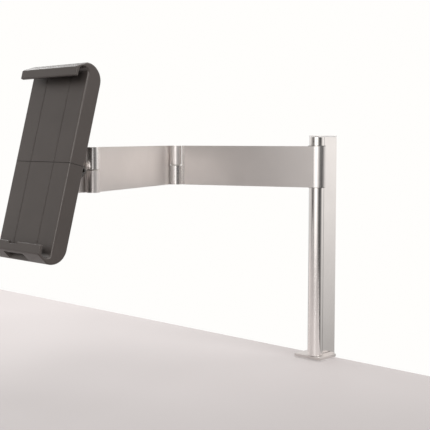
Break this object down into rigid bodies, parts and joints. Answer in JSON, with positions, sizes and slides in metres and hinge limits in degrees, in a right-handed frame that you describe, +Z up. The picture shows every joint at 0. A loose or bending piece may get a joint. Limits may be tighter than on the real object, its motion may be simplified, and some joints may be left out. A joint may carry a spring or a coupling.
{
  "type": "tablet holder on a desk-clamp swing arm",
  "caption": "Desk-clamped column with a height-adjustable, two-link swing arm that ends in a tilting and turning tablet holder with telescoping hooked jaws.",
  "frame": {"origin": "on the desk's top surface, which the foot's pad rests on, straight under the axis of the column's round bead", "axes": "+X along the desk's edge, -Y towards the user and the middle of the desk, +Z up along the column"},
  "size_m": [0.2, 0.403, 0.4605],
  "materials": {
    "satin_aluminium": "satin anodised extrusion",
    "anthracite_plastic": "fine moulded, satin",
    "zinc_steel": "zinc plated",
    "black_steel": "blackened",
    "brass": "turned",
    "black_plastic": "fine moulded",
    "grey_plastic": "smooth moulded",
    "natural_nylon": "natural nylon",
    "black_rubber": "matt"
  },
  "bodies": {
    "stand": {"clamp_frame": "satin_aluminium", "desk_pad": "grey_plastic", "column_profile": "satin_aluminium", "column_cap": "grey_plastic", "column_foot_screw": "zinc_steel", "fin_screw_upper": "zinc_steel", "fin_screw_lower": "zinc_steel", "fin_nut_upper": "zinc_steel", "fin_nut_lower": "zinc_steel", "jaw_insert": "brass"},
    "pressure_foot": {"pressure_plate": "zinc_steel", "pressure_pad": "black_rubber", "retaining_clip": "zinc_steel"},
    "clamp_screw": {"clamp_spindle": "zinc_steel", "clamp_knob": "black_plastic"},
    "height_carriage": {"collar_liner": "black_plastic"},
    "inner_arm": {"inner_arm": "satin_aluminium", "collar_set_screw": "zinc_steel", "elbow_pin": "zinc_steel", "elbow_washer": "natural_nylon", "elbow_bush_lower": "natural_nylon", "elbow_cap_lower": "grey_plastic"},
    "outer_arm": {"outer_arm": "satin_aluminium", "elbow_bush_upper": "natural_nylon", "elbow_cap_upper": "grey_plastic", "wrist_pin": "zinc_steel", "wrist_washer": "natural_nylon", "wrist_bush_lower": "natural_nylon", "wrist_cap_lower": "grey_plastic"},
    "wrist": {"wrist_bracket": "satin_aluminium", "wrist_bush_upper": "natural_nylon", "wrist_cap_upper": "grey_plastic"},
    "tilt_head": {"tilt_head": "black_steel", "tilt_bolt": "black_steel", "tilt_nut": "black_steel", "tilt_washer_left": "black_plastic", "tilt_washer_right": "black_plastic", "turn_bolt": "zinc_steel"},
    "holder_core": {"slide_tray": "zinc_steel", "turn_washer": "natural_nylon"},
    "pinion": {"centring_pinion": "natural_nylon"},
    "upper_half": {"upper_jaw": "anthracite_plastic", "upper_jaw_pad": "black_rubber", "upper_rack": "natural_nylon", "upper_rack_screw": "zinc_steel"},
    "lower_half": {"lower_jaw": "anthracite_plastic", "lower_jaw_pad": "black_rubber", "lower_rack": "natural_nylon", "lower_rack_screw": "zinc_steel"},
    "lock_screw": {"lock_screw": "black_plastic"}
  },
  "joints": [
    {"name": "foot_slide", "type": "slide", "parent": "stand", "child": "pressure_foot", "axis": [0, 0, 1], "range_m": [-0.027, 0.015]},
    {"name": "spindle_turn", "type": "hinge", "parent": "pressure_foot", "child": "clamp_screw", "pos_m": [-0.005, 0.003, -0.08], "axis": [0, 0, 1], "range_deg": [-7776, 4320]},
    {"name": "height_slide", "type": "slide", "parent": "stand", "child": "height_carriage", "axis": [0, 0, 1], "range_m": [-0.12, 0.011]},
    {"name": "arm_swing", "type": "hinge", "parent": "height_carriage", "child": "inner_arm", "pos_m": [0, 0, 0.238], "axis": [0, 0, 1], "range_deg": [-46, 73]},
    {"name": "elbow", "type": "hinge", "parent": "inner_arm", "child": "outer_arm", "pos_m": [-0.17434, -0.07157, 0.238], "axis": [0, 0, 1], "range_deg": [-138, 45]},
    {"name": "wrist", "type": "hinge", "parent": "outer_arm", "child": "wrist", "pos_m": [-0.109, -0.25993, 0.238], "axis": [0, 0, 1], "range_deg": [-30, 85]},
    {"name": "tilt", "type": "hinge", "parent": "wrist", "child": "tilt_head", "pos_m": [-0.11171, -0.28709, 0.238], "axis": [-0.9998, 0.0175, 0], "range_deg": [-30, 45]},
    {"name": "holder_turn", "type": "hinge", "parent": "tilt_head", "child": "holder_core", "pos_m": [-0.11205, -0.30641, 0.24318], "axis": [-0.0169, -0.9658, 0.2588], "continuous": true},
    {"name": "upper_slide", "type": "slide", "parent": "holder_core", "child": "upper_half", "axis": [0.0045, 0.2588, 0.9659], "range_m": [0, 0.045]},
    {"name": "lower_slide", "type": "slide", "parent": "holder_core", "child": "lower_half", "axis": [-0.0045, -0.2588, -0.9659], "range_m": [0, 0.045]},
    {"name": "pinion_turn", "type": "hinge", "parent": "holder_core", "child": "pinion", "pos_m": [-0.11218, -0.31413, 0.24525], "axis": [-0.0169, -0.9658, 0.2588], "range_deg": [0, 286.48]},
    {"name": "lock_turn", "type": "hinge", "parent": "lower_half", "child": "lock_screw", "pos_m": [-0.11211, -0.3102, 0.21935], "axis": [-0.0169, -0.9658, 0.2588], "range_deg": [0, 180]}
  ],
  "couplings": [
    {"joint": "spindle_turn", "follows": "foot_slide", "rad_per_m": 5026.5},
    {"joint": "lower_slide", "follows": "upper_slide", "ratio": 1},
    {"joint": "pinion_turn", "follows": "upper_slide", "rad_per_m": 111.11}
  ]
}
